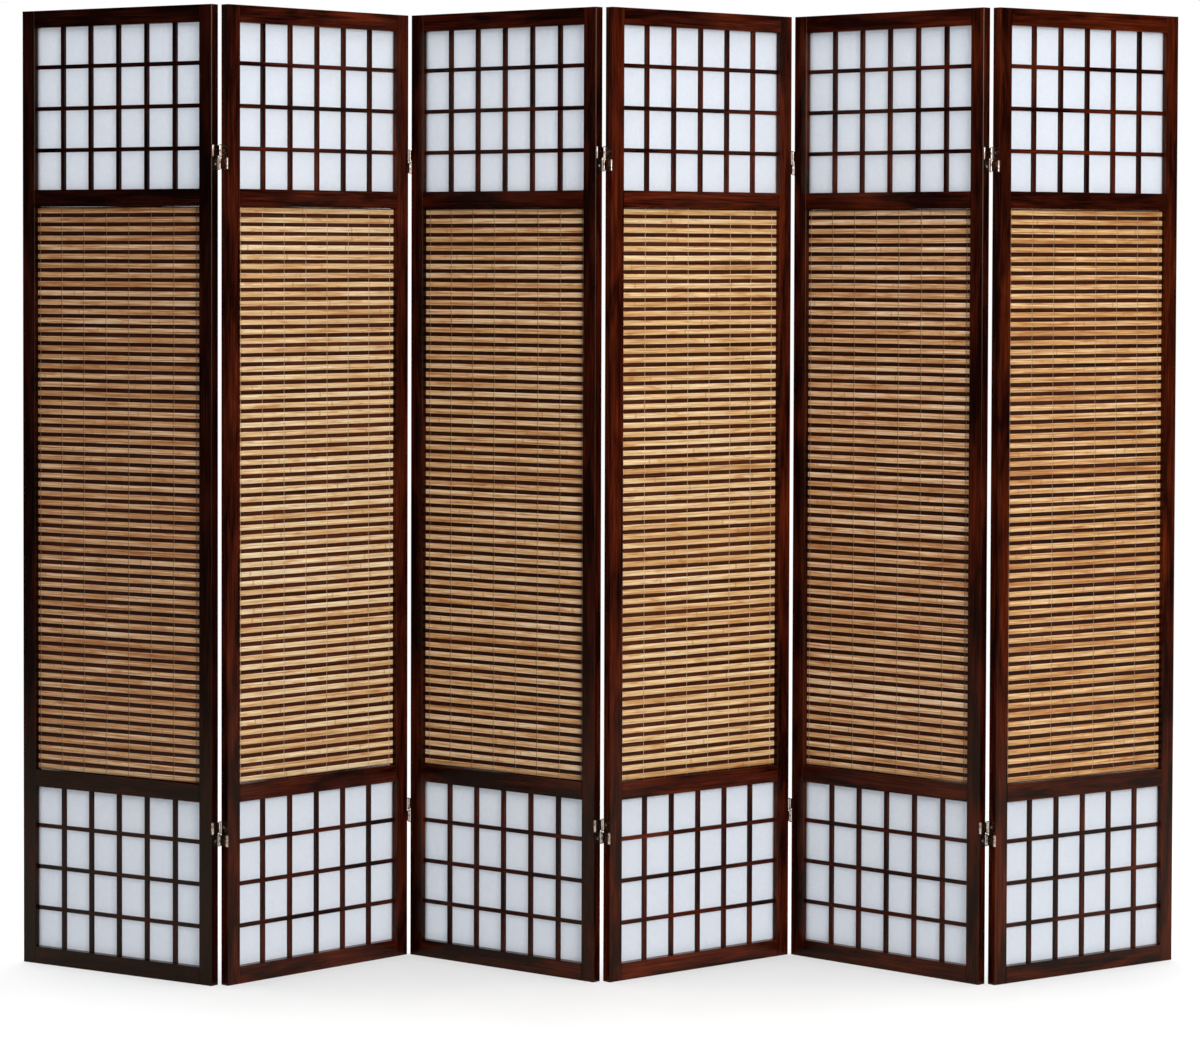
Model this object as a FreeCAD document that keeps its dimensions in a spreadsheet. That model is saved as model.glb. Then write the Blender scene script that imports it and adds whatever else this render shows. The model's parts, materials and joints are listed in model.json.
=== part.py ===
import FreeCAD, Part
import math
import os
import Sketcher

# Folding screen of six panels. Each panel is a grooved frame with a lattice and
# paper above and below a woven bamboo mat. Ten double-acting hinges join the panels.
# Panel frame of reference: X along the panel, Y from front to back, Z up.
doc = FreeCAD.newDocument("bamboo_room_divider")
sheet = doc.addObject("Spreadsheet::Sheet", "Sizes")

SIZES = [
    # one panel
    ("panel_height", "1750"),
    ("panel_width", "440"),
    ("frame_thickness", "19"),
    ("stile_width", "29"),
    ("eased_edge", "1"),
    ("rail_height", "31"),
    ("lattice_opening", "296"),
    # groove along the inner edge of each stile
    ("groove_depth", "5"),
    ("groove_clearance", "0.2"),
    # lattice bars and paper
    ("bar_face", "7.5"),
    ("bar_setback", "6.5"),
    ("lap_clearance", "0.1"),
    ("upright_count", "5"),
    ("crossbar_count", "3"),
    ("paper_thickness", "0.6"),
    # woven mat
    ("mat_setback", "10"),
    ("mat_end_strip", "2"),
    ("natural_slat_height", "9.4"),
    ("natural_slat_thickness", "1.8"),
    ("stained_slat_height", "7.1"),
    ("stained_slat_thickness", "1.6"),
    # hinges
    ("fold_gap", "5.6"),
    ("hinge_height", "45"),
    ("hinge_to_end", "271"),
    ("barrel_diameter", "5"),
    ("barrel_flank", "4"),
    ("pin_proud", "0.5"),
    ("leaf_thickness", "1.2"),
    ("link_thickness", "1.2"),
    ("lug_reach", "1.8"),
    ("half_spacing", "1"),
    ("running_clearance", "0.3"),
    # how each panel stands, in degrees from the row, as the screen is set up
    ("panel_1_angle", "-32.5"),
    ("panel_2_angle", "46.2"),
    ("panel_3_angle", "-38.7"),
    ("panel_4_angle", "40.5"),
    ("panel_5_angle", "-43"),
    ("panel_6_angle", "36"),
]
for row, (alias, value) in enumerate(SIZES, start=1):
    sheet.set(f"A{row}", alias)
    sheet.set(f"B{row}", value)
    sheet.setAlias(f"B{row}", alias)
doc.recompute()

PANELS = 6

# Expressions that several pieces share
OPENING_WIDTH = "(Sizes.panel_width - 2 * Sizes.stile_width)"
MAT_BOTTOM = "(2 * Sizes.rail_height + Sizes.lattice_opening)"
MAT_OPENING = "(Sizes.panel_height - 4 * Sizes.rail_height - 2 * Sizes.lattice_opening)"
UPPER_LATTICE_BOTTOM = "(Sizes.panel_height - Sizes.rail_height - Sizes.lattice_opening)"
MAT_BACK = "(Sizes.mat_setback + Sizes.natural_slat_thickness + Sizes.stained_slat_thickness)"
PAPER_FRONT = f"({MAT_BACK} - Sizes.paper_thickness)"
HELD_IN_GROOVE = "(Sizes.groove_depth - Sizes.groove_clearance)"
BAR_DEPTH = f"({PAPER_FRONT} - Sizes.bar_setback)"
LAP_DEPTH = f"({BAR_DEPTH} / 2)"
PIN_OFFSET = "(Sizes.frame_thickness / 2 + Sizes.pin_proud)"
BARREL_RADIUS = "(Sizes.barrel_diameter / 2)"
LINK_FOOT = "(Sizes.half_spacing / 2 + Sizes.leaf_thickness + Sizes.running_clearance)"
LINK_TOP = "(Sizes.hinge_height / 2 - Sizes.leaf_thickness - Sizes.running_clearance)"


def size(expression):
    """The value of an expression on the sheet."""
    return float(sheet.evalExpression(expression))


def bind(item, **expressions):
    """Binds properties of an object. A double underscore stands for a dot."""
    for name, expression in expressions.items():
        item.setExpression(name.replace("__", "."), expression)
    return item


def box(name, length, width, height, x="0", y="0", z="0"):
    item = doc.addObject("Part::Box", name)
    bind(item, Length=length, Width=width, Height=height)
    return put(item, x, y, z)


def put(item, x="0", y="0", z="0", turn=None):
    """Puts an object at a bound place. turn is an axis and degrees."""
    if turn:
        item.Placement = FreeCAD.Placement(FreeCAD.Vector(), FreeCAD.Rotation(*turn))
    return bind(item, Placement__Base__x=x, Placement__Base__y=y, Placement__Base__z=z)


def group(name, members):
    item = doc.addObject("Part::Compound", name)
    item.Links = members
    return item


def copy(source, name, x="0", y="0", z="0", turn=None):
    """The same piece once more, in another place."""
    return put(group(name, [source]), x, y, z, turn)


def tie(sketch, geometry, vertex, direction, expression):
    """Ties one coordinate of a sketch point to an expression."""
    value = size(expression)
    if expression == "0":
        axis = -1 if direction == "DistanceY" else -2
        sketch.addConstraint(Sketcher.Constraint("PointOnObject", geometry, vertex, axis))
        return
    number = sketch.addConstraint(Sketcher.Constraint(direction, -1, 1, geometry, vertex, value))
    sketch.setExpression(f"Constraints[{number}]", expression)


def outline(sketch, points):
    """A closed outline of straight lines through points given as expressions."""
    corners = [FreeCAD.Vector(size(x), size(y), 0) for x, y in points]
    count = len(corners)
    for number, corner in enumerate(corners):
        sketch.addGeometry(Part.LineSegment(corner, corners[(number + 1) % count]), False)
    for number, (x, y) in enumerate(points):
        sketch.addConstraint(Sketcher.Constraint("Coincident", (number - 1) % count, 2, number, 1))
        tie(sketch, number, 1, "DistanceX", x)
        tie(sketch, number, 1, "DistanceY", y)


def padded_body(name, height):
    """A body whose one sketch, on the ground plane, is padded upward. Returns both."""
    body = doc.addObject("PartDesign::Body", name)
    sketch = body.newObject("Sketcher::SketchObject", name + "_outline")
    ground = [f for f in body.Origin.OriginFeatures if f.Role == "XY_Plane"][0]
    sketch.AttachmentSupport = [(ground, "")]
    sketch.MapMode = "FlatFace"
    pad = body.newObject("PartDesign::Pad", name + "_pad")
    pad.Profile = sketch
    bind(pad, Length=height)
    return body, sketch


# Stile: a straight post with eased edges and one groove for the mat, the paper and the rails
groove_front = "(Sizes.mat_setback - Sizes.groove_clearance)"
groove_back = f"({MAT_BACK} + Sizes.groove_clearance)"
groove_floor = "(Sizes.stile_width - Sizes.groove_depth)"
eased_inner = "(Sizes.stile_width - Sizes.eased_edge)"
eased_back = "(Sizes.frame_thickness - Sizes.eased_edge)"
stile, stile_sketch = padded_body("stile", "Sizes.panel_height")
outline(
    stile_sketch,
    [
        ("Sizes.eased_edge", "0"),
        (eased_inner, "0"),
        ("Sizes.stile_width", "Sizes.eased_edge"),
        ("Sizes.stile_width", groove_front),
        (groove_floor, groove_front),
        (groove_floor, groove_back),
        ("Sizes.stile_width", groove_back),
        ("Sizes.stile_width", eased_back),
        (eased_inner, "Sizes.frame_thickness"),
        ("Sizes.eased_edge", "Sizes.frame_thickness"),
        ("0", eased_back),
        ("0", "Sizes.eased_edge"),
    ],
)
# the right stile is the same post turned end for end
end_for_end = (FreeCAD.Vector(0, 1, 0), 180)
right_stile = copy(stile, "stile_turned", "Sizes.panel_width", "0", "Sizes.panel_height", end_for_end)

# Rail: a cross member with a tongue at each end that enters the grooves
rail, rail_sketch = padded_body("rail", "Sizes.rail_height")
tongue_end = f"({OPENING_WIDTH} + {HELD_IN_GROOVE})"
outline(
    rail_sketch,
    [
        ("0", "0"),
        (OPENING_WIDTH, "0"),
        (OPENING_WIDTH, "Sizes.mat_setback"),
        (tongue_end, "Sizes.mat_setback"),
        (tongue_end, MAT_BACK),
        (OPENING_WIDTH, MAT_BACK),
        (OPENING_WIDTH, "Sizes.frame_thickness"),
        ("0", "Sizes.frame_thickness"),
        ("0", MAT_BACK),
        (f"-{HELD_IN_GROOVE}", MAT_BACK),
        (f"-{HELD_IN_GROOVE}", "Sizes.mat_setback"),
        ("0", "Sizes.mat_setback"),
    ],
)
rail_places = {
    "bottom_rail": "0",
    "lower_middle_rail": "Sizes.rail_height + Sizes.lattice_opening",
    "upper_middle_rail": f"{UPPER_LATTICE_BOTTOM} - Sizes.rail_height",
    "top_rail": "Sizes.panel_height - Sizes.rail_height",
}
rails = [copy(rail, name, "Sizes.stile_width", "0", z) for name, z in rail_places.items()]

# Lattice: uprights run from rail to rail, crossbars lie in notches cut in their fronts
upright_count = int(size("Sizes.upright_count"))
crossbar_count = int(size("Sizes.crossbar_count"))
pane_width = f"(({OPENING_WIDTH} - {upright_count} * Sizes.bar_face) / {upright_count + 1})"
pane_height = f"((Sizes.lattice_opening - {crossbar_count} * Sizes.bar_face) / {crossbar_count + 1})"
crossbar_heights = [
    f"({number + 1} * {pane_height} + {number} * Sizes.bar_face)" for number in range(crossbar_count)
]
blank = box("upright_blank", "Sizes.bar_face", BAR_DEPTH, "Sizes.lattice_opening")
notches = [
    box(
        f"lap_notch_{number}",
        "Sizes.bar_face",
        LAP_DEPTH,
        "Sizes.bar_face + 2 * Sizes.lap_clearance",
        z=f"{height} - Sizes.lap_clearance",
    )
    for number, height in enumerate(crossbar_heights, start=1)
]
notch_tools = group("lap_notches", notches)
upright = doc.addObject("Part::Cut", "upright")
upright.Base = blank
upright.Tool = notch_tools
crossbar = box("crossbar", OPENING_WIDTH, f"{LAP_DEPTH} - Sizes.lap_clearance", "Sizes.bar_face")
lattice_bottoms = {"lower": "Sizes.rail_height", "upper": UPPER_LATTICE_BOTTOM}
uprights = [
    copy(
        upright,
        f"{place}_upright_{number + 1}",
        f"Sizes.stile_width + {number + 1} * {pane_width} + {number} * Sizes.bar_face",
        "Sizes.bar_setback",
        bottom,
    )
    for place, bottom in lattice_bottoms.items()
    for number in range(upright_count)
]
crossbars = [
    copy(
        crossbar,
        f"{place}_crossbar_{number}",
        "Sizes.stile_width",
        "Sizes.bar_setback",
        f"{bottom} + {height}",
    )
    for place, bottom in lattice_bottoms.items()
    for number, height in enumerate(crossbar_heights, start=1)
]

# Paper: one sheet behind each lattice, its side edges in the grooves
held_start = f"(Sizes.stile_width - {HELD_IN_GROOVE})"
held_width = f"({OPENING_WIDTH} + 2 * {HELD_IN_GROOVE})"
papers = [
    box(
        f"{place}_paper",
        held_width,
        "Sizes.paper_thickness",
        "Sizes.lattice_opening - 2 * Sizes.groove_clearance",
        held_start,
        PAPER_FRONT,
        f"{bottom} + Sizes.groove_clearance",
    )
    for place, bottom in lattice_bottoms.items()
]

# Mat: natural slats at even spacing, in front of the layer of stained slats, which shows
# between them and as a narrower strip at each end
slat_pitch = size("Sizes.natural_slat_height + Sizes.stained_slat_height")
slat_room = size(f"{MAT_OPENING} - 2 * Sizes.mat_end_strip + Sizes.stained_slat_height")
slat_count = int(slat_room / slat_pitch)
slats_span = f"({MAT_OPENING} - 2 * Sizes.mat_end_strip)"
stained_strip = f"(({slats_span} - {slat_count} * Sizes.natural_slat_height) / {slat_count - 1})"
natural_slats = [
    box(
        f"natural_slat_{number + 1}",
        held_width,
        "Sizes.natural_slat_thickness",
        "Sizes.natural_slat_height",
        held_start,
        "Sizes.mat_setback",
        f"{MAT_BOTTOM} + Sizes.mat_end_strip + {number} * ({stained_strip} + Sizes.natural_slat_height)",
    )
    for number in range(slat_count)
]
stained_slats = box(
    "stained_slats",
    held_width,
    "Sizes.stained_slat_thickness",
    f"{MAT_OPENING} - Sizes.groove_clearance",
    held_start,
    "Sizes.mat_setback + Sizes.natural_slat_thickness",
    MAT_BOTTOM,
)

# Hinge leaf: a plate for the edge of a stile, with a pair of lugs at its upper front that
# grip one link and a pair at its lower back in which the other link turns.
# Hinge frame: origin at mid gap, mid thickness and mid height.
plate_reach = f"({PIN_OFFSET} - {BARREL_RADIUS} - Sizes.running_clearance)"
plate = box(
    "leaf_plate",
    "Sizes.leaf_thickness",
    f"2 * {plate_reach}",
    "Sizes.hinge_height",
    "-Sizes.fold_gap / 2",
    f"-{plate_reach}",
    "-Sizes.hinge_height / 2",
)
lug_sketch = doc.addObject("Sketcher::SketchObject", "lug_outline")
plate_inner = "(Sizes.fold_gap / 2 - Sizes.leaf_thickness)"
lug_root = f"({plate_reach} - Sizes.leaf_thickness)"
outline(
    lug_sketch,
    [
        ("-Sizes.fold_gap / 2", f"-{lug_root}"),
        ("-Sizes.fold_gap / 2", f"-{PIN_OFFSET}"),
        ("0", f"-{PIN_OFFSET} - {BARREL_RADIUS}"),
        ("Sizes.lug_reach", f"-{PIN_OFFSET}"),
        (f"-{plate_inner}", f"-{lug_root}"),
    ],
)
half_turn = (FreeCAD.Vector(1, 0, 0), 180)
grip_thickness = "(Sizes.leaf_thickness + Sizes.running_clearance)"
lug_kinds = {"grip": (grip_thickness, None), "free": ("Sizes.leaf_thickness", half_turn)}
lugs = []
for kind, (thickness, turn) in lug_kinds.items():
    lug_feet = {
        "inner": "Sizes.half_spacing / 2",
        "outer": f"Sizes.hinge_height / 2 - {thickness}",
    }
    for place, foot in lug_feet.items():
        lug = doc.addObject("Part::Extrusion", f"{kind}_{place}_lug")
        lug.Base = lug_sketch
        lug.DirMode = "Custom"
        lug.Dir = FreeCAD.Vector(0, 0, 1)
        lug.Solid = True
        bind(lug, LengthFwd=thickness)
        lugs.append(put(lug, z=foot if turn is None else f"-({foot})", turn=turn))
leaf = doc.addObject("Part::MultiFuse", "hinge_leaf")
leaf.Shapes = [plate] + lugs
leaf.Refine = True

# Hinge link: a strap with a barrel at each end. A barrel is round about its pin on the
# outside and has flat flanks, which keep it clear of the stiles.
link_height = f"({LINK_TOP} - {LINK_FOOT})"
strap = box(
    "link_strap",
    "Sizes.link_thickness",
    f"2 * {PIN_OFFSET}",
    link_height,
    "-Sizes.link_thickness / 2",
    f"-{PIN_OFFSET}",
)
round_stock = doc.addObject("Part::Cylinder", "barrel_round")
bind(round_stock, Radius=BARREL_RADIUS, Height=link_height)
put(round_stock, y=f"-{PIN_OFFSET}")
flat_stock = box(
    "barrel_flats",
    "Sizes.barrel_flank",
    "Sizes.barrel_diameter + Sizes.barrel_flank / 4",
    link_height,
    "-Sizes.barrel_flank / 2",
    f"-{PIN_OFFSET} - Sizes.barrel_diameter",
)
front_barrel = doc.addObject("Part::Common", "front_barrel")
front_barrel.Base = round_stock
front_barrel.Tool = flat_stock
back_barrel = copy(front_barrel, "back_barrel", turn=(FreeCAD.Vector(0, 0, 1), 180))
link = doc.addObject("Part::MultiFuse", "hinge_link")
link.Shapes = [strap, front_barrel, back_barrel]
link.Refine = True

# The hinges on a panel, at two heights of its right and left edges. Odd panels carry the
# top links of their hinges and even panels the bottom links, because the folds alternate.
hinge_heights = {"lower": "Sizes.hinge_to_end", "upper": "Sizes.panel_height - Sizes.hinge_to_end"}
mid_thickness = "Sizes.frame_thickness / 2"
edge_places = {
    "right": "Sizes.panel_width + Sizes.fold_gap / 2",
    "left": "-Sizes.fold_gap / 2",
}
leaf_turns = {
    ("odd", "right"): None,
    ("odd", "left"): (FreeCAD.Vector(0, 0, 1), 180),
    ("even", "right"): half_turn,
    ("even", "left"): (FreeCAD.Vector(0, 1, 0), 180),
}
link_feet = {"odd": LINK_FOOT, "even": f"-{LINK_TOP}"}
leaves, links = {}, {}
for (parity, edge), turn in leaf_turns.items():
    across = edge_places[edge]
    leaves[parity, edge] = [
        copy(leaf, f"{parity}_{edge}_{place}_leaf", across, mid_thickness, height, turn)
        for place, height in hinge_heights.items()
    ]
    foot = link_feet[parity]
    links[parity, edge] = [
        copy(link, f"{parity}_{edge}_{place}_link", across, mid_thickness, f"{height} + {foot}")
        for place, height in hinge_heights.items()
    ]


def hinge_edges(panel):
    """The edges of a panel that meet another panel."""
    return [edge for edge, end in (("left", 1), ("right", PANELS)) if panel != end]


def panel_pieces(panel):
    """Each node of a panel and what it holds."""
    parity = "odd" if panel % 2 else "even"
    at = hinge_edges(panel)
    return {
        "left_stile": [stile],
        "right_stile": [right_stile],
        "rails": rails,
        "lattice_uprights": uprights,
        "lattice_crossbars": crossbars,
        "paper": papers,
        "natural_slats": natural_slats,
        "stained_slats": [stained_slats],
        "hinge_leaves": [leaf for edge in at for leaf in leaves[parity, edge]],
        "hinge_links": [link for edge in at for link in links[parity, edge]],
    }


def turned(panel, x, y):
    """A place in a panel's plan, turned as that panel stands."""
    angle = math.radians(size(f"Sizes.panel_{panel}_angle"))
    return FreeCAD.Vector(
        x * math.cos(angle) - y * math.sin(angle),
        x * math.sin(angle) + y * math.cos(angle),
        0,
    )


def panel_starts():
    """Where each panel's front left corner stands. A fold toward the viewer turns about
    the pins behind the panels, and the next fold about the pins in front of them."""
    width = size("Sizes.panel_width")
    thickness = size("Sizes.frame_thickness")
    half_gap = size("Sizes.fold_gap / 2")
    proud = size("Sizes.pin_proud")
    starts = [FreeCAD.Vector()]
    for panel in range(1, PANELS):
        pin = thickness + proud if panel % 2 else -proud
        fold = starts[-1] + turned(panel, width + half_gap, pin)
        starts.append(fold - turned(panel + 1, -half_gap, pin))
    return starts


nodes = []
for panel, start in enumerate(panel_starts(), start=1):
    stance = FreeCAD.Rotation(FreeCAD.Vector(0, 0, 1), size(f"Sizes.panel_{panel}_angle"))
    for piece, members in panel_pieces(panel).items():
        node = group(f"panel_{panel}_{piece}", members)
        node.Label = f"panel_{panel}_{piece}"
        node.Placement = FreeCAD.Placement(start, stance)
        nodes.append(node)
doc.recompute()

# The origin is on the floor, in the middle of the whole screen
overall = FreeCAD.BoundBox()
for node in nodes:
    overall.add(node.Shape.optimalBoundingBox(False))
middle = FreeCAD.Vector(overall.Center.x, overall.Center.y, 0)
for node in nodes:
    node.Placement = FreeCAD.Placement(node.Placement.Base - middle, node.Placement.Rotation)
doc.recompute()

failed = [item.Label for item in doc.Objects if {"Invalid", "Error"} & set(item.State)]
failed += [node.Label for node in nodes if node.Shape.isNull() or not node.Shape.isValid()]
if failed:
    raise RuntimeError(f"these did not build: {failed}")
os.makedirs("parts", exist_ok=True)
for node in nodes:
    node.Shape.exportStep(f"parts/{node.Label}.step")
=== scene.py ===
import json
import math
import random

import bmesh
import bpy
from mathutils import Matrix, Vector, noise


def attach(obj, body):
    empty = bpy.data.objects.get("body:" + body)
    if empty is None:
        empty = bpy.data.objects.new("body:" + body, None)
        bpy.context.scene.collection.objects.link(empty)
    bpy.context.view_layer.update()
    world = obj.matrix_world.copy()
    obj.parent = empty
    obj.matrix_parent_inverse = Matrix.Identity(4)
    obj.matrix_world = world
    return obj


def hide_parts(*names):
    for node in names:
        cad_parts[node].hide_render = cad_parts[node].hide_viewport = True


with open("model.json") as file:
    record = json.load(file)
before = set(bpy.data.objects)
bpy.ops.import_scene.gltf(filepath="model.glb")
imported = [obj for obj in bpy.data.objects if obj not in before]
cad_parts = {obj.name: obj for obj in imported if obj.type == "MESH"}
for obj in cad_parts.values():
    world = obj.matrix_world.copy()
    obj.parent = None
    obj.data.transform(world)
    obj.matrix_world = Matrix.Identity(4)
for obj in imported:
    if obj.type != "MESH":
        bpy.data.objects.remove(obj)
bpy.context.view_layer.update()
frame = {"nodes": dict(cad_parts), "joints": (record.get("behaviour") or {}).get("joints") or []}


# Frames

# The stiles and rails are knotty pine, planed, with eased edges, stained a dark red brown and
# sprayed with satin lacquer. The rails' tongues are glued into the stiles' grooves.
PANELS = range(1, 7)
MM = 0.001
# the six panels stand in a zigzag: how many degrees each is turned from a straight row
panel_turns = {1: -32.5, 2: 46.2, 3: -38.7, 4: 40.5, 5: -43.0, 6: 36.0}
# each panel's tones of the stain, where it took fully and where it took least; panels 1, 3 and 5,
# turned away from the front right light, get darker tones than panels 2, 4 and 6, which is painted
# shade
stain_and_shade_tones = {
    1: ("#110201", "#3e1409"),
    2: ("#1e0402", "#6e2914"),
    3: ("#190301", "#5a1e0e"),
    4: ("#220502", "#752a12"),
    5: ("#1c0402", "#64230f"),
    6: ("#200502", "#70290f"),
}


def linear(hex_colour):
    """The linear colour that an sRGB hex value stands for."""
    parts = [int(hex_colour[i : i + 2], 16) / 255 for i in (1, 3, 5)]
    return [p / 12.92 if p <= 0.04045 else ((p + 0.055) / 1.055) ** 2.4 for p in parts] + [1]


def add_node(material, kind, settings, links=()):
    """Adds a node, sets its sockets and properties by name, and links what feeds it."""
    made = material.node_tree.nodes.new("ShaderNode" + kind)
    for name, value in settings.items():
        if name == "stops":
            ramp = made.color_ramp.elements
            while len(ramp) < len(value):
                ramp.new(0.5)
            for stop, (place, colour) in zip(ramp, value):
                stop.position, stop.color = place, colour
        elif isinstance(name, int) or name in made.inputs:
            made.inputs[name].default_value = value
        else:
            setattr(made, name, value)
    for name, source in dict(links).items():
        material.node_tree.links.new(source, made.inputs[name])
    return made


def new_finish(name):
    """An empty material, ready for its nodes."""
    made = bpy.data.materials.new(name)
    made.use_nodes = True
    made.node_tree.nodes.clear()
    return made


def stained_pine(name, panel, grain, brown, red):
    """Pine, planed, stained and lacquered: dark, with red where the stain took less, fine
    lines of grain, small knots, and a warm satin sheen where the lacquer mirrors the floor."""
    wood = new_finish(name)
    place = add_node(wood, "TexCoord", {})
    # stain patches 30 mm wide, growth rings 3.2 mm apart, drawn a little coarse to show, and
    # knots about 75 mm apart across the grain
    marks = {"patch": (190, 30), "ring": (130, 3.2), "knot": (260, 75)}
    cells = {}
    for mark, (along, across) in marks.items():
        size = (along, across, across) if grain == "level" else (across, across, along)
        settings = {
            "vector_type": "TEXTURE",
            "Rotation": (0, 0, math.radians(panel_turns[panel])),
            "Scale": [side * MM for side in size],
        }
        mapped = add_node(wood, "Mapping", settings, {"Vector": place.outputs["Object"]})
        cells[mark] = mapped.outputs[0]
    settings = {"Scale": 1, "Detail": 3, "Roughness": 0.6, "Distortion": 0.4}
    patches = add_node(wood, "TexNoise", settings, {"Vector": cells["patch"]}).outputs["Fac"]
    settings = {"Scale": 1, "Detail": 4, "Roughness": 0.62, "Distortion": 0.8}
    rings = add_node(wood, "TexNoise", settings, {"Vector": cells["ring"]}).outputs["Fac"]
    settings = {"Scale": 1, "Randomness": 1}
    knots = add_node(wood, "TexVoronoi", settings, {"Vector": cells["knot"]}).outputs["Distance"]

    stops = [(0.4, linear(brown)), (0.85, linear(red))]
    patch_tone = add_node(wood, "ValToRGB", {"stops": stops}, {"Fac": patches}).outputs[0]
    stops = [(0.34, linear("#4c4242")), (0.6, linear("#ffffff"))]
    ring_tone = add_node(wood, "ValToRGB", {"stops": stops}, {"Fac": rings}).outputs[0]
    stops = [(0.03, linear("#50302a")), (0.075, linear("#ffc8b4")), (0.15, linear("#ffffff"))]
    knot_tone = add_node(wood, "ValToRGB", {"stops": stops}, {"Fac": knots}).outputs[0]
    darken = {"data_type": "RGBA", "blend_type": "MULTIPLY"}
    grained = add_node(wood, "Mix", {**darken, 0: 0.85}, {6: patch_tone, 7: ring_tone})
    knotted = add_node(wood, "Mix", {**darken, 0: 0.8}, {6: grained.outputs[2], 7: knot_tone})

    settings = {"From Min": 0.3, "From Max": 0.7, "To Min": 0.18, "To Max": 0.28}
    sheen = add_node(wood, "MapRange", settings, {"Value": rings})
    relief = add_node(wood, "Bump", {"Strength": 0.25, "Distance": 0.2 * MM}, {"Height": rings})
    settings = {"IOR": 1.5, "Specular IOR Level": 0.15, "Specular Tint": linear("#ffe7c4")}
    links = {
        "Base Color": knotted.outputs[2],
        "Roughness": sheen.outputs[0],
        "Normal": relief.outputs[0],
    }
    skin = add_node(wood, "BsdfPrincipled", settings, links)
    add_node(wood, "OutputMaterial", {}, {"Surface": skin.outputs[0]})
    return wood


def refinish(node, finish):
    """Gives a piece of the frame model its real finish."""
    for slot in frame["nodes"][node].material_slots:
        slot.material = finish


# the stiles and rails of panels 1, 3 and 5 are painted darker, as shade
for panel in PANELS:
    upright_pine = stained_pine(f"stile_pine_{panel}", panel, "upright", *stain_and_shade_tones[panel])
    level_pine = stained_pine(f"rail_pine_{panel}", panel, "level", *stain_and_shade_tones[panel])
    refinish(f"panel_{panel}_left_stile", upright_pine)
    refinish(f"panel_{panel}_right_stile", upright_pine)
    refinish(f"panel_{panel}_rails", level_pine)


# Lattices

# Five uprights and three crossbars of the same stained pine, 7.5 mm wide, half-lapped where
# they cross and glued in at their ends. Each stick's grain runs along it.
# the sticks of panels 1, 3 and 5 are painted darker, as shade
for panel in PANELS:
    upright_sticks = stained_pine(
        f"upright_stick_pine_{panel}", panel, "upright", *stain_and_shade_tones[panel]
    )
    level_sticks = stained_pine(
        f"crossbar_stick_pine_{panel}", panel, "level", *stain_and_shade_tones[panel]
    )
    refinish(f"panel_{panel}_lattice_uprights", upright_sticks)
    refinish(f"panel_{panel}_lattice_crossbars", level_sticks)


# Paper

# A sheet of white fibre paper, glued behind each lattice. It is matt, lets some light through
# and has long fibres in it, 20 mm by 0.7 mm, that show as faint clouds.
paper = new_finish("fibre_paper")
paper_place = add_node(paper, "TexCoord", {})
# three layers of fibres, each leaning its own way
fibre_layers = []
for layer, lean in enumerate((20, 75, 130)):
    settings = {
        "vector_type": "TEXTURE",
        "Location": (0, 0, 0.1 * layer),
        "Rotation": (0, math.radians(lean), 0),
        "Scale": (20 * MM, 4 * MM, 0.7 * MM),
    }
    fibre_cells = add_node(paper, "Mapping", settings, {"Vector": paper_place.outputs["Object"]})
    settings = {"Scale": 1, "Detail": 2}
    fibre_layer = add_node(paper, "TexNoise", settings, {"Vector": fibre_cells.outputs[0]})
    fibre_layers.append(fibre_layer.outputs["Fac"])
first, second, third = fibre_layers
fibre_pair = add_node(paper, "Math", {"operation": "MAXIMUM"}, {0: first, 1: second})
fibre_links = {0: fibre_pair.outputs[0], 1: third}
fibres = add_node(paper, "Math", {"operation": "MAXIMUM"}, fibre_links).outputs[0]
paper_stops = [(0.45, linear("#e4e8ee")), (0.8, linear("#f3f5f8"))]
paper_tone = add_node(paper, "ValToRGB", {"stops": paper_stops}, {"Fac": fibres}).outputs[0]
paper_relief = add_node(paper, "Bump", {"Strength": 0.2, "Distance": 0.1 * MM}, {"Height": fibres})
paper_skin = add_node(
    paper,
    "BsdfPrincipled",
    {"IOR": 1.5, "Roughness": 0.85, "Specular IOR Level": 0.1},
    {"Base Color": paper_tone, "Normal": paper_relief.outputs[0]},
)
paper_through = add_node(paper, "BsdfTranslucent", {}, {"Color": paper_tone})
paper_sides = {1: paper_skin.outputs[0], 2: paper_through.outputs[0]}
paper_whole = add_node(paper, "MixShader", {0: 0.55}, paper_sides)
add_node(paper, "OutputMaterial", {}, {"Surface": paper_whole.outputs[0]})
for panel in PANELS:
    refinish(f"panel_{panel}_paper", paper)


# Natural slats

# Each mat has 62 slats of bamboo, split from the cane and planed to 9.4 by 1.8 mm, with the
# cane's joints left as low ridges. The ends run into the stiles' grooves.
natural_height = 9.4 * MM
natural_thickness = 1.8 * MM
mat_bottom, mat_top = 358 * MM, 1392 * MM
mat_front = 10 * MM
slat_start, slat_end = 24.2 * MM, 415.8 * MM
slat_count = 62
# the dark strip below the first slat and above the last
end_strip = 2 * MM
slatted_height = mat_top - mat_bottom - 2 * end_strip
stained_strip = (slatted_height - slat_count * natural_height) / (slat_count - 1)
slat_pitch = stained_strip + natural_height
# how much lower or higher than the rest a slat may be planed, in mm
planing_spread = (-0.35, 0.25)
slat_stations = 9
# the section's front, from its middle to its edge: share of the half height, mm behind the crown
slat_crown = ((0.4, 0.03), (0.82, 0.25), (1.0, 0.8))
# how deep its flanks reach, as a share of its thickness
flank_depth = 0.75
back_easing = 0.25 * MM
# a slat isn't quite straight: how far it strays, and how fast that changes along the slat,
# from slat to slat and up the mat
slat_wander = 0.5 * MM
wander_along, wander_by_slat, wander_up = 6, 90, 7
# where a slat's first cane joint may lie, and how far apart its joints may be, in metres
first_joint = (-0.05, 0.3)
joint_spacing = (0.21, 0.34)
joint_clearance = 4 * MM
# the sections that shape one joint, in mm along the slat
joint_stations = (-3.5, -1.2, 0, 1.2, 3.5)
joint_spread = 1.9 * MM
joint_swell, joint_rise = 0.12 * MM, 0.2 * MM
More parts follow.
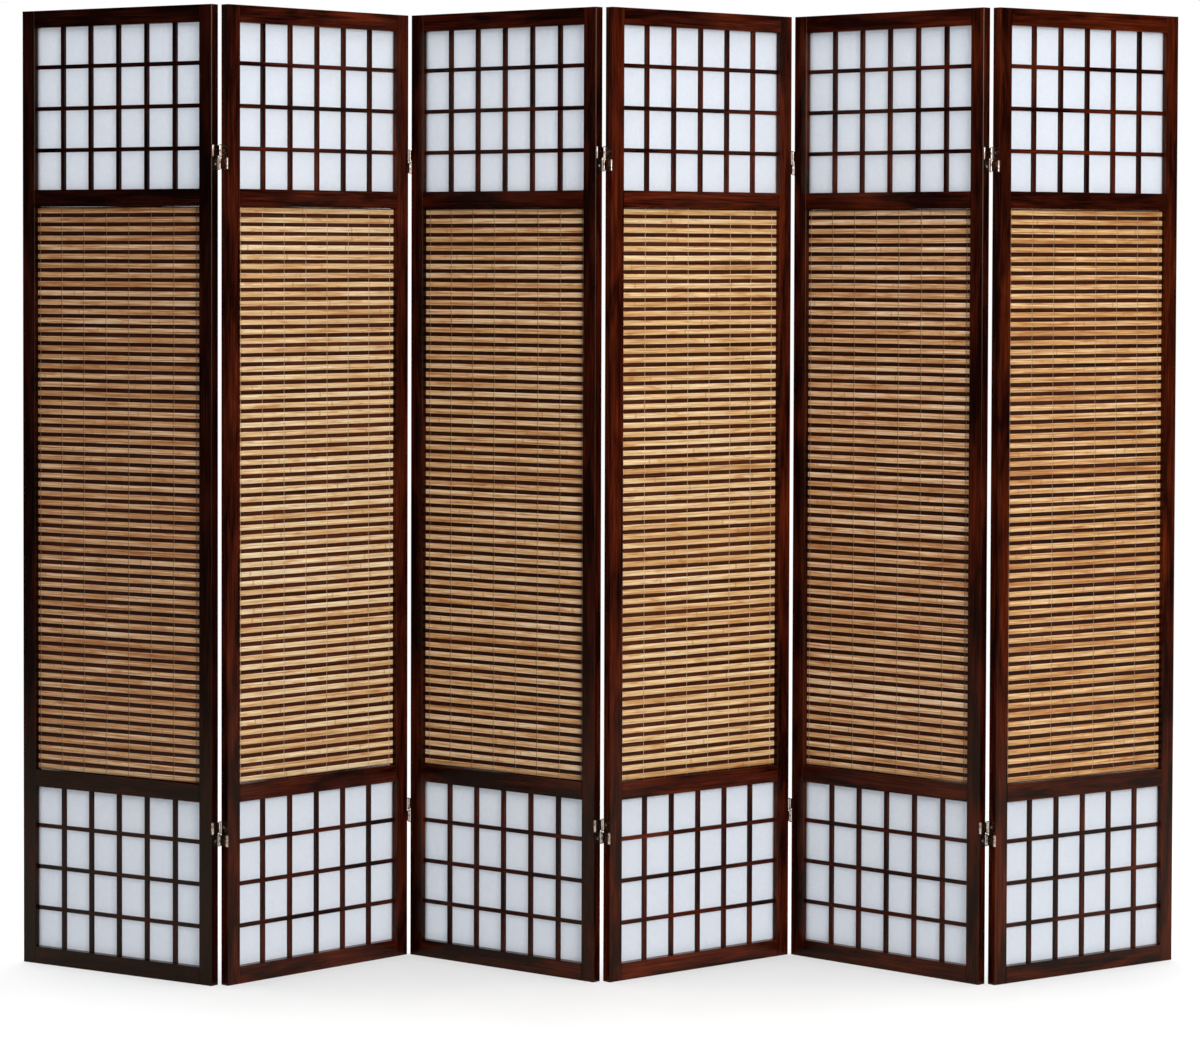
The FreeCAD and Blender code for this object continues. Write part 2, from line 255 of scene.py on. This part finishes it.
# the bamboo of each mat, from its darkest streaks to its palest; each mat is painted lighter or
# darker by the light on its panel, panel 1 the darkest and panel 2 the palest, which is painted
# light and shade
natural_bands = (0.48, 0.68, 0.86, 1.0)
natural_light_and_shade_tones = {
    1: ("#a36b3c", "#bd8657", "#d0a170", "#e8c49d"),
    2: ("#c18f58", "#dcb17c", "#eecb9a", "#f8e2ba"),
    3: ("#b9814e", "#d4a26f", "#e8be8b", "#f7dab4"),
    4: ("#bd864e", "#d8a96f", "#ebc38a", "#f9ddaf"),
    5: ("#b47c4a", "#d09c6b", "#e6b989", "#f9dab6"),
    6: ("#ab6f3b", "#c88f57", "#ddac70", "#f2cc9a"),
}


def split_bamboo(name, bands, tones, ridge, gloss, roughness):
    """Bamboo, split and planed, seen on its skin side: straight fibres along the slat, slow
    changes of tone, a darker line at each joint, and a waxy sheen."""
    bamboo = new_finish(name)
    place = add_node(bamboo, "TexCoord", {})
    tone = add_node(bamboo, "Attribute", {"attribute_name": "slat_tone"}).outputs["Fac"]
    joint = add_node(bamboo, "Attribute", {"attribute_name": "slat_joint"}).outputs["Fac"]
    # each slat has its own stretch of the pattern
    offset = add_node(bamboo, "Math", {"operation": "MULTIPLY", 1: 60.0}, {0: tone})
    # fibres 0.3 mm wide are drawn 0.9 mm wide, so that they show, streaks are 2.2 mm wide and
    # patches of tone 40 mm long
    marks = {"fibre": (50, 0.9), "streak": (110, 2.2), "patch": (40, 6)}
    layers = {}
    for mark, (along, across) in marks.items():
        settings = {
            "vector_type": "TEXTURE",
            "Scale": (along * MM, across * MM, across * MM),
        }
        cells = add_node(bamboo, "Mapping", settings, {"Vector": place.outputs["Object"]})
        settings = {"noise_dimensions": "4D", "Scale": 1, "Detail": 3, "Roughness": 0.6}
        links = {"Vector": cells.outputs[0], "W": offset.outputs[0]}
        layers[mark] = add_node(bamboo, "TexNoise", settings, links).outputs["Fac"]

    # the streaks within a slat count for more than the tone of the whole slat
    settings = {"operation": "MULTIPLY_ADD", 1: 1.7, 2: -0.14}
    streaks = add_node(bamboo, "Math", settings, {0: layers["streak"]}).outputs[0]
    settings = {"operation": "MULTIPLY_ADD", 1: 0.22}
    shade = add_node(bamboo, "Math", settings, {0: tone, 2: streaks}).outputs[0]
    stops = [(band, linear(colour)) for band, colour in zip(bands, tones)]
    body_tone = add_node(bamboo, "ValToRGB", {"stops": stops}, {"Fac": shade})
    stops = [(0.3, linear("#b9a595")), (0.6, linear("#ffffff"))]
    fibre_tone = add_node(bamboo, "ValToRGB", {"stops": stops}, {"Fac": layers["fibre"]})
    stops = [(0.34, linear("#dcb590")), (0.46, linear("#ffffff"))]
    patch_tone = add_node(bamboo, "ValToRGB", {"stops": stops}, {"Fac": layers["patch"]})
    darken = {"data_type": "RGBA", "blend_type": "MULTIPLY"}
    links = {6: body_tone.outputs[0], 7: fibre_tone.outputs[0]}
    fibred = add_node(bamboo, "Mix", {**darken, 0: 0.75}, links)
    links = {6: fibred.outputs[2], 7: patch_tone.outputs[0]}
    patched = add_node(bamboo, "Mix", {**darken, 0: 0.7}, links)
    settings = {"From Min": 0.25, "From Max": 0.9, "To Min": 0.0, "To Max": 0.55}
    joint_share = add_node(bamboo, "MapRange", settings, {"Value": joint})
    links = {0: joint_share.outputs[0], 6: patched.outputs[2]}
    jointed = add_node(bamboo, "Mix", {"data_type": "RGBA", 7: linear(ridge)}, links)

    settings = {"Strength": 0.3, "Distance": 0.2 * MM}
    relief = add_node(bamboo, "Bump", settings, {"Height": layers["fibre"]})
    skin = add_node(
        bamboo,
        "BsdfPrincipled",
        {"IOR": 1.5, "Specular IOR Level": gloss, "Roughness": roughness},
        {"Base Color": jointed.outputs[2], "Normal": relief.outputs[0]},
    )
    add_node(bamboo, "OutputMaterial", {}, {"Surface": skin.outputs[0]})
    return bamboo


def new_mat_shape():
    """An empty shape, whose points can hold their slat's tone and the marks of its joints."""
    shape = bmesh.new()
    return shape, [shape.verts.layers.float.new(name) for name in ("slat_tone", "slat_joint")]


def lay_rings(shape, rings):
    """Joins a row of like rings of points into one closed skin."""
    rows = [[shape.verts.new(point) for point in ring] for ring in rings]
    for near, far in zip(rows, rows[1:]):
        for i, corner in enumerate(near):
            j = (i + 1) % len(near)
            shape.faces.new((corner, near[j], far[j], far[i]))
    shape.faces.new(rows[0][::-1])
    shape.faces.new(rows[-1])
    return rows


# a piece is made as if its panel lay flat along x, and is then turned to where the panel stands
panel_width = 440 * MM
frame_thickness = 19 * MM
fold_gap = 5.6 * MM
# a fold's pins stand this far outside the frame's face, on the side that the fold closes to
pin_proud = 0.5 * MM
fold_places = [Vector(joint["pos_m"]) for joint in frame["joints"]]
stances = {}
for panel in PANELS:
    # a panel is placed from the fold on its right, and the last one from the fold on its left
    fold = min(panel, len(fold_places))
    pin_x = panel_width + fold_gap / 2 if panel == fold else -fold_gap / 2
    pin_y = frame_thickness + pin_proud if fold % 2 else -pin_proud
    foot = fold_places[fold - 1] * Vector((1, 1, 0))
    turn = Matrix.Rotation(math.radians(panel_turns[panel]), 4, "Z")
    stances[panel] = Matrix.Translation(foot - turn @ Vector((pin_x, pin_y, 0))) @ turn


def stand_piece(name, shape, panel, finish, sharp=40):
    """Makes a flat-made shape into a piece that stands in its panel and moves with it."""
    bmesh.ops.recalc_face_normals(shape, faces=shape.faces[:])
    mesh = bpy.data.meshes.new(name)
    shape.to_mesh(mesh)
    shape.free()
    mesh.materials.append(finish)
    mesh.shade_smooth()
    mesh.set_sharp_from_angle(angle=math.radians(sharp))
    piece = bpy.data.objects.new(name, mesh)
    bpy.context.scene.collection.objects.link(piece)
    piece.matrix_world = stances[panel]
    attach(piece, f"panel_{panel}")
    return piece


def lay_slat(shape, layers, chance, middle, height, front, thickness):
    """Lays one slat along x: rounded edges, a slight crown and a ridge at each cane joint."""
    tone_layer, joint_layer = layers
    tone = chance.random()
    cane_joints = []
    at = slat_start + chance.uniform(*first_joint)
    while at < slat_end - joint_clearance:
        if at > slat_start + joint_clearance:
            cane_joints.append(at)
        at += chance.uniform(*joint_spacing)
    length = slat_end - slat_start
    stations = [slat_start + length * i / slat_stations for i in range(slat_stations + 1)]
    for cane_joint in cane_joints:
        stations = [x for x in stations if abs(x - cane_joint) > joint_clearance]
        stations += [cane_joint + shift * MM for shift in joint_stations]
    rings, marks = [], []
    for x in sorted(stations):
        nearness = [math.exp(-(((x - at) / joint_spread) ** 2)) for at in cane_joints]
        mark = max(nearness or [0])
        wave = Vector((x * wander_along, tone * wander_by_slat, middle * wander_up))
        wander = slat_wander * noise.noise(wave)
        half = height / 2 + joint_swell * mark
        crown = front - joint_rise * mark
        flank, back = front + flank_depth * thickness, front + thickness
        crowned = [(share * half, crown + depth * MM) for share, depth in slat_crown]
        upper_half = crowned + [(half, flank), (half - back_easing, back)]
        profile = [(-z, y) for z, y in reversed(upper_half)] + upper_half
        rings.append([(x, y, middle + wander + z) for z, y in profile])
        marks.append(mark)
    for row, mark in zip(lay_rings(shape, rings), marks):
        for corner in row:
            corner[tone_layer], corner[joint_layer] = tone, mark


for panel in PANELS:
    # each mat's bamboo is painted lighter or darker by the light on its panel, as light and shade
    natural_bamboo = split_bamboo(
        f"planed_bamboo_{panel}",
        natural_bands,
        natural_light_and_shade_tones[panel],
        ridge="#a4703c",
        gloss=0.3,
        roughness=0.42,
    )
    chance = random.Random(620 + panel)
    shape, layers = new_mat_shape()
    for number in range(slat_count):
        middle = mat_bottom + end_strip + number * slat_pitch + natural_height / 2
        height = natural_height + chance.uniform(*planing_spread) * MM
        lay_slat(shape, layers, chance, middle, height, mat_front, natural_thickness)
    mat = stand_piece(f"panel_{panel}_bamboo_slats", shape, panel, natural_bamboo)
    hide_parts(f"panel_{panel}_natural_slats")


# Stained slats

# Between and behind the natural slats lie 63 thinner slats of the same bamboo, dipped in a
# near-black brown stain. They overlap the natural slats' backs, so that no light comes through.
stained_thickness = 1.6 * MM
stained_play = 0.05 * MM
stained_front = mat_front + natural_thickness + stained_play
stained_overlap = 1.0 * MM
# the stain of each mat, from its darkest streaks to its palest; panels 1, 3 and 5, turned away
# from the front right light, are darker than panels 2 and 4, with panel 6 between, which is
# painted shade
dipped_bands = (0.5, 0.75, 1.0)
dipped_shade_tones = {
    1: ("#1a0702", "#2a0e05", "#3e1a0e"),
    2: ("#2a1106", "#3f1c0e", "#552a1a"),
    3: ("#1a0702", "#2a0e05", "#3e1a0e"),
    4: ("#2a1106", "#3f1c0e", "#552a1a"),
    5: ("#1a0702", "#2a0e05", "#3e1a0e"),
    6: ("#200c05", "#33160b", "#472316"),
}
for panel in PANELS:
    # the stain fills the pores and dulls the wax
    dipped_bamboo = split_bamboo(
        f"dipped_bamboo_{panel}",
        dipped_bands,
        dipped_shade_tones[panel],
        ridge="#0e0402",
        gloss=0.12,
        roughness=0.45,
    )
    chance = random.Random(630 + panel)
    shape, layers = new_mat_shape()
    for number in range(slat_count + 1):
        above = mat_bottom + end_strip + number * slat_pitch
        bottom = above - stained_strip - stained_overlap if number else mat_bottom
        top = above + stained_overlap if number < slat_count else mat_top
        middle, height = (bottom + top) / 2, top - bottom
        thickness = stained_thickness - 2 * stained_play
        lay_slat(shape, layers, chance, middle, height, stained_front, thickness)
    mat = stand_piece(f"panel_{panel}_dark_slats", shape, panel, dipped_bamboo)
    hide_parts(f"panel_{panel}_stained_slats")


# Weaving threads

# Eight pairs of cotton threads, 52 mm apart, run down each mat. One of a pair passes in front
# of the natural slats and dips to the stained ones, and the other runs down the back.
thread_radius = 0.4 * MM
thread_spacing = 52 * MM
thread_count = 8
thread_sides = 6
# how far a pair strays from its place, in mm
thread_play = 0.4
thread_bottom, thread_top = mat_bottom + 0.6 * MM, mat_top - 0.8 * MM
# how far each mat's first pair is from its panel's left edge, in mm
first_threads = {1: 33.4, 2: 39.0, 3: 38.2, 4: 37.2, 5: 33.0, 6: 38.6}
# the cotton of each mat, in the hollows of its twist, painted darker as shade, and on its strands;
# panels 1, 3 and 5, turned away from the front right light, are darker than panels 2 and 4, with
# panel 6 between, which is painted shade
thread_shade_tones = {
    1: ("#5f4c3a", "#8c755c"),
    2: ("#9c846c", "#cfb99e"),
    3: ("#5f4c3a", "#8c755c"),
    4: ("#ac937a", "#e2cdb2"),
    5: ("#5f4c3a", "#8c755c"),
    6: ("#887058", "#b59e84"),
}
# where a thread bends at each natural slat: its depth, and how far past the slat's edge it is
front_bends = [(stained_front - 0.15 * MM, 1.4 * MM), (mat_front - 0.25 * MM, 0.1 * MM)]
back_bends = [(13.7 * MM, 0.5 * MM), (12.4 * MM, -2.2 * MM)]
back_depth = 13.5 * MM


def twisted_cotton(name, hollow, crest):
    """Cotton thread, twisted: soft and matt, with slanting hollows between its strands painted
    darker, as shade.
    """
    cotton = new_finish(name)
    place = add_node(cotton, "TexCoord", {})
    # a thread's twist is 0.4 mm, drawn 1.2 mm so that it shows, and leans by 0.7 radians
    settings = {"vector_type": "TEXTURE", "Rotation": (0, 0.7, 0), "Scale": (1.2 * MM,) * 3}
    cells = add_node(cotton, "Mapping", settings, {"Vector": place.outputs["Object"]})
    settings = {"Scale": 1, "Distortion": 1.5, "Detail": 1}
    twist = add_node(cotton, "TexWave", settings, {"Vector": cells.outputs[0]})
    stops = [(0.1, linear(hollow)), (0.8, linear(crest))]
    tone = add_node(cotton, "ValToRGB", {"stops": stops}, {"Fac": twist.outputs["Fac"]})
    settings = {"IOR": 1.5, "Roughness": 0.9, "Specular IOR Level": 0.2}
    skin = add_node(cotton, "BsdfPrincipled", settings, {"Base Color": tone.outputs[0]})
    add_node(cotton, "OutputMaterial", {}, {"Surface": skin.outputs[0]})
    return cotton


def thread_path(end_depth, bends):
    """A thread's way up the mat, as depths and heights."""
    path = [(end_depth, thread_bottom)]
    for number in range(slat_count):
        bottom = mat_bottom + end_strip + number * slat_pitch
        top = bottom + natural_height
        path += [(depth, bottom - past) for depth, past in bends]
        path += [(depth, top + past) for depth, past in reversed(bends)]
    return path + [(end_depth, thread_top)]


def lay_thread(shape, x, path):
    """Lays a thread along a path, at one place across the panel."""
    rings = []
    side = Vector((1, 0, 0))
    turns = [math.radians(360 / thread_sides * (step + 0.5)) for step in range(thread_sides)]
    last = len(path) - 1
    for i, (y, z) in enumerate(path):
        before, after = path[max(i - 1, 0)], path[min(i + 1, last)]
        run = Vector((0, after[0] - before[0], after[1] - before[1])).normalized()
        out = side.cross(run)
        middle = Vector((x, y, z))
        rings.append(
            [middle + thread_radius * (math.cos(t) * side + math.sin(t) * out) for t in turns]
        )
    lay_rings(shape, rings)


for panel in PANELS:
    cotton = twisted_cotton(f"twisted_cotton_{panel}", *thread_shade_tones[panel])
    chance = random.Random(640 + panel)
    shape = bmesh.new()
    for number in range(thread_count):
        play = chance.uniform(-thread_play, thread_play) * MM
        x = first_threads[panel] * MM + number * thread_spacing + play
        lay_thread(shape, x, thread_path(stained_front, front_bends))
        lay_thread(shape, x, thread_path(back_depth, back_bends))
    stand_piece(f"panel_{panel}_weaving_threads", shape, panel, cotton, sharp=80)


# Hinges

# Ten double-acting hinges of pressed steel, plated antique bronze, at two heights of each
# fold. Their leaves are screwed to the stiles' edges. Each link is a strap with both ends
# rolled round a pin, so that its panel can swing to either side.
hinge_heights = [271 * MM, 1479 * MM]
leaf_thickness = 1.2 * MM
pin_offset = frame_thickness / 2 + pin_proud
barrel_radius = 2.5 * MM
barrel_bore = 1.45 * MM
# a strap runs on into the walls of its barrels
strap_reach = pin_offset - 0.8 * barrel_radius
# a barrel is rolled nearly shut, through 336 degrees
roll_start, roll_sweep, roll_steps = 72, 336, 28
link_foot, link_top = 2 * MM, 21 * MM
strap_easing, barrel_easing = 0.15 * MM, 0.2 * MM
# a barrel's eased ends, as a share of its radius
eased_end = 0.93
pin_steps = 18
# a pin, from its foot below the barrel to its domed head above: mm past the end, mm of radius
pin_profile = ((-1.4, 0.9), (-1.1, 1.35), (0.3, 1.35), (0.4, 2.1), (1.0, 1.8), (1.3, 0.8))
# a screw's head, from its rim to its middle: mm of radius, mm proud of the leaf
screw_profile = ((2.5, -0.05), (2.3, 0.12), (1.5, 0.26), (0.5, 0.3))
screw_slot_depth = 0.55
screw_slot_reach = 2
# a screw's rings have eight steps to a quarter, two of them in each arm of the cross, and are
# turned by half a step, so that the arms stand square
screw_steps = 32
screw_quarter, screw_arm = 8, 2
screw_turn = 5.6
screw_rise = 12 * MM


def antique_bronze(name, tones, roughness):
    """Antique bronze plate: a mottled dark patina that is worn paler and smoother in clouds."""
    bronze = new_finish(name)
    place = add_node(bronze, "TexCoord", {})
    # patina in clouds 5 mm across, over fine marks from tumbling 0.8 mm across
    layers = []
    for cell in (5 * MM, 0.8 * MM):
        settings = {"vector_type": "TEXTURE", "Scale": (cell,) * 3}
        cells = add_node(bronze, "Mapping", settings, {"Vector": place.outputs["Object"]})
        settings = {"Scale": 1, "Detail": 4, "Roughness": 0.6}
        layer = add_node(bronze, "TexNoise", settings, {"Vector": cells.outputs[0]})
        layers.append(layer.outputs["Fac"])
    clouds, marks = layers
    stops = [(band, linear(colour)) for band, colour in zip((0.35, 0.52, 0.72), tones)]
    tone = add_node(bronze, "ValToRGB", {"stops": stops}, {"Fac": clouds})
    settings = {"From Min": 0.3, "From Max": 0.7, "To Min": roughness + 0.12, "To Max": roughness}
    sheen = add_node(bronze, "MapRange", settings, {"Value": clouds})
    relief = add_node(bronze, "Bump", {"Strength": 0.15, "Distance": 0.1 * MM}, {"Height": marks})
    links = {
        "Base Color": tone.outputs[0],
        "Roughness": sheen.outputs[0],
        "Normal": relief.outputs[0],
    }
    skin = add_node(bronze, "BsdfPrincipled", {"Metallic": 1.0}, links)
    add_node(bronze, "OutputMaterial", {}, {"Surface": skin.outputs[0]})
    return bronze


# two copies of one bronze plate: a darker one for the leaves and straps, which is painted shade,
# and a paler one for the barrels, pins and screws, which gives them painted highlights
dark_bronze = antique_bronze("dark_bronze_plate", ("#1c1510", "#42332a", "#8d7464"), 0.3)
highlight_bronze = antique_bronze("highlight_bronze_plate", ("#6a5347", "#bba192", "#f2ded3"), 0.25)


def round_outline(radius, turns):
    """Points round a middle, in plan."""
    return [(radius * math.cos(t), radius * math.sin(t)) for t in turns]


def upright_ring(x, y, z, outline):
    """A ring of points at one height from an outline in plan."""
    return [(x + across, y + deep, z) for across, deep in outline]


def lay_link(shape, x, low, high):
    """One link: its strap, the two ends rolled into barrels, and the pins with domed heads."""
    middle = frame_thickness / 2
    half, reach = leaf_thickness / 2, strap_reach
    strap = [(half, -reach), (half, reach), (-half, reach), (-half, -reach)]
    strap_ends = (low + strap_easing, high - strap_easing)
    lay_rings(shape, [upright_ring(x, middle, z, strap) for z in strap_ends])
    wrap = [math.radians(roll_start + roll_sweep * i / roll_steps) for i in range(roll_steps + 1)]
    outer = round_outline(barrel_radius, wrap)
    eased = [(eased_end * across, eased_end * deep) for across, deep in outer]
    inner = round_outline(barrel_bore, wrap[::-1])
    roll_low, roll_high = low + barrel_easing, high - barrel_easing
    roll = [(low, eased), (roll_low, outer), (roll_high, outer), (high, eased)]
    pin_turns = [math.radians(360 / pin_steps * step) for step in range(pin_steps)]
    for side in (-1, 1):
        at = middle + side * pin_offset
        faces_before = len(shape.faces)
        lay_rings(shape, [upright_ring(x, at, z, outline + inner) for z, outline in roll])
        rings = []
        for rise, radius in pin_profile:
            z = (low if rise < 0 else high) + rise * MM
            rings.append(upright_ring(x, at, z, round_outline(radius * MM, pin_turns)))
        lay_rings(shape, rings)
        # the barrels and pins take the paler bronze, for painted highlights
        for face in list(shape.faces)[faces_before:]:
            face.material_index = 1


def lay_screw(shape, x, out, z):
    """A crossed countersunk screw head, 5 mm across, let into a leaf and facing out along x."""
    rows = []
    for radius, rise in screw_profile:
        row = []
        for step in range(screw_steps):
            t = math.radians(360 / screw_steps * step + screw_turn)
            in_slot = radius < screw_slot_reach and (step + 1) % screw_quarter < screw_arm
            lift = (rise - screw_slot_depth if in_slot else rise) * MM
            y = frame_thickness / 2 + radius * MM * math.cos(t)
            row.append((x + out * lift, y, z + radius * MM * math.sin(t)))
        rows.append(row)
    lay_rings(shape, rows)


def hinge_edges(panel):
    """Where along x the panel's hinges lie, and which way its stile's edge faces there."""
    edges = []
    if panel > 1:
        edges.append((-fold_gap / 2, -1))
    if panel < len(PANELS):
        edges.append((panel_width + fold_gap / 2, 1))
    return edges


for panel in PANELS:
    refinish(f"panel_{panel}_hinge_leaves", dark_bronze)
    link_shape, screw_shape = bmesh.new(), bmesh.new()
    for x, out in hinge_edges(panel):
        leaf_face = x - out * (fold_gap / 2 - leaf_thickness)
        for height in hinge_heights:
            low, high = (link_foot, link_top) if panel % 2 else (-link_top, -link_foot)
            lay_link(link_shape, x, height + low, height + high)
            for rise in (-screw_rise, screw_rise):
                lay_screw(screw_shape, leaf_face, out, height + rise)
    links = stand_piece(f"panel_{panel}_rolled_links", link_shape, panel, dark_bronze, sharp=35)
    links.data.materials.append(highlight_bronze)
    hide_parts(f"panel_{panel}_hinge_links")
    screws = stand_piece(f"panel_{panel}_hinge_screws", screw_shape, panel, highlight_bronze, sharp=30)


# Floor and backdrop

# A plain studio floor, painted matt white, 8 m across, with a lit white backdrop far behind it
# on all sides. The lacquered wood mirrors the near floor, which gives it its brown veil.
floor_radius, backdrop_radius = 4, 40
floor_white = new_finish("matt_white_floor")
floor_place = add_node(floor_white, "TexCoord", {})
# roller marks in the paint, in faint clouds 400 mm across
floor_settings = {"vector_type": "TEXTURE", "Scale": (400 * MM,) * 3}
floor_links = {"Vector": floor_place.outputs["Object"]}
floor_cells = add_node(floor_white, "Mapping", floor_settings, floor_links)
floor_links = {"Vector": floor_cells.outputs[0]}
floor_clouds = add_node(floor_white, "TexNoise", {"Scale": 1, "Detail": 2}, floor_links)
floor_stops = [(0.3, linear("#bcbcbc")), (0.7, linear("#c1c1c1"))]
floor_links = {"Fac": floor_clouds.outputs["Fac"]}
floor_tone = add_node(floor_white, "ValToRGB", {"stops": floor_stops}, floor_links)
floor_skin = add_node(
    floor_white,
    "BsdfPrincipled",
    {
        "Roughness": 0.95,
        "Specular IOR Level": 0.0,
        "Emission Color": linear("#ffffff"),
        "Emission Strength": 0.36,
    },
    {"Base Color": floor_tone.outputs[0]},
)
add_node(floor_white, "OutputMaterial", {}, {"Surface": floor_skin.outputs[0]})

backdrop_white = new_finish("lit_backdrop")
backdrop_settings = {"Color": linear("#ffffff"), "Strength": 1.0}
backdrop_glow = add_node(backdrop_white, "Emission", backdrop_settings)
add_node(backdrop_white, "OutputMaterial", {}, {"Surface": backdrop_glow.outputs[0]})


def stand_far_thing(name, shape, finish):
    """Makes a shape into a part of the studio that throws no light of its own on the screen."""
    mesh = bpy.data.meshes.new(name)
    shape.to_mesh(mesh)
    shape.free()
    mesh.materials.append(finish)
    far_thing = bpy.data.objects.new(name, mesh)
    bpy.context.scene.collection.objects.link(far_thing)
    far_thing.visible_diffuse = False
    far_thing.visible_transmission = False
    return far_thing


floor_shape, backdrop_shape = bmesh.new(), bmesh.new()
bmesh.ops.create_circle(floor_shape, cap_ends=True, segments=96, radius=floor_radius)
bmesh.ops.create_icosphere(backdrop_shape, subdivisions=4, radius=backdrop_radius)
floor = stand_far_thing("studio_floor", floor_shape, floor_white)
backdrop = stand_far_thing("studio_backdrop", backdrop_shape, backdrop_white)
backdrop.visible_shadow = False
backdrop.visible_glossy = False


# Light

# A white studio, bright overhead and behind the screen, whose floor throws light back up. The
# room in front is dim, so that the wood stays dark. Two soft lights add to it: a square one at
# the front right, which lights panels 2, 4 and 6 more than the others, and a long one overhead.
world = bpy.data.worlds.new("studio_light")
bpy.context.scene.world = world
world.use_nodes = True
world.node_tree.nodes.clear()
room_place = add_node(world, "TexCoord", {})
room_parts = add_node(world, "SeparateXYZ", {}, {0: room_place.outputs["Generated"]})
dim_room = 0.05
# the way in which each part of the room lies, where its glow starts and is full, and its strength
back_wall, ceiling, ground = ("Y", 0.2, 0.85, 1.4), ("Z", 0.35, 0.9, 1.2), ("Z", -0.12, -0.6, 0.65)
room_glows = []
for axis, start, end, strength in (back_wall, ceiling, ground):
    settings = {"From Min": start, "From Max": end, "To Min": 0.0, "To Max": strength}
    room_glow = add_node(world, "MapRange", settings, {"Value": room_parts.outputs[axis]})
    room_glows.append(room_glow.outputs[0])
whole_glow = add_node(world, "Math", {"operation": "ADD", 1: dim_room}, {0: room_glows[0]})
for room_glow in room_glows[1:]:
    glow_links = {0: room_glow, 1: whole_glow.outputs[0]}
    whole_glow = add_node(world, "Math", {"operation": "ADD"}, glow_links)
glow_links = {"Strength": whole_glow.outputs[0]}
room_light = add_node(world, "Background", {"Color": linear("#ffffff")}, glow_links)
add_node(world, "OutputWorld", {}, {"Surface": room_light.outputs[0]})


def soft_light(name, place, target, width, depth, power):
    """A soft light with an even face, turned to the target."""
    light = bpy.data.lights.new(name, "AREA")
    light.shape, light.size, light.size_y, light.energy = "RECTANGLE", width, depth, power
    stand = bpy.data.objects.new(name, light)
    stand.location = place
    stand.rotation_mode = "QUATERNION"
    stand.rotation_quaternion = (Vector(target) - Vector(place)).to_track_quat("-Z", "Y")
    bpy.context.scene.collection.objects.link(stand)


soft_light("front_right_light", (2.5, -6.0, 2.5), (0, 0, 0.9), width=2.4, depth=2.4, power=330)
# aimed a hair off straight down, so that its long side stays in line with the screen
soft_light("overhead_light", (0, 0.5, 4.5), (0, 0.5001, 0), width=5.0, depth=1.5, power=130)
# the picture keeps the scene's own tones, with no film look over them
bpy.context.scene.view_settings.view_transform = "Standard"


# Camera

# A long lens, 1.31 m above the floor and 7.1 m in front of the first panel's left edge, tipped
# down by 1.7 degrees. Its place is given from the front bottom corner at that edge.
image_width, sensor_width = 1200, 36
focal_pixels = 3859.2
# the picture lies lower than the lens points, by this share of its width
picture_shift = -0.1237
camera_from_corner = Vector((1061.2, -7091.0, 1308.1)) * MM
pitch, roll = math.radians(1.716), math.radians(0.171)
ahead = Vector((0, math.cos(pitch), -math.sin(pitch)))
right, up = Vector((1, 0, 0)), Vector((0, math.sin(pitch), math.cos(pitch)))
rolled_right = math.cos(roll) * right + math.sin(roll) * up
rolled_up = -math.sin(roll) * right + math.cos(roll) * up
camera_data = bpy.data.cameras.new("camera")
camera_data.sensor_width = sensor_width
camera_data.lens = focal_pixels * sensor_width / image_width
camera_data.shift_y = picture_shift
camera_data.clip_end = 200
camera = bpy.data.objects.new("camera", camera_data)
axes = Matrix((rolled_right, rolled_up, -ahead)).transposed().to_4x4()
camera.matrix_world = Matrix.Translation(stances[1].translation + camera_from_corner) @ axes
bpy.context.scene.collection.objects.link(camera)
bpy.context.scene.camera = camera
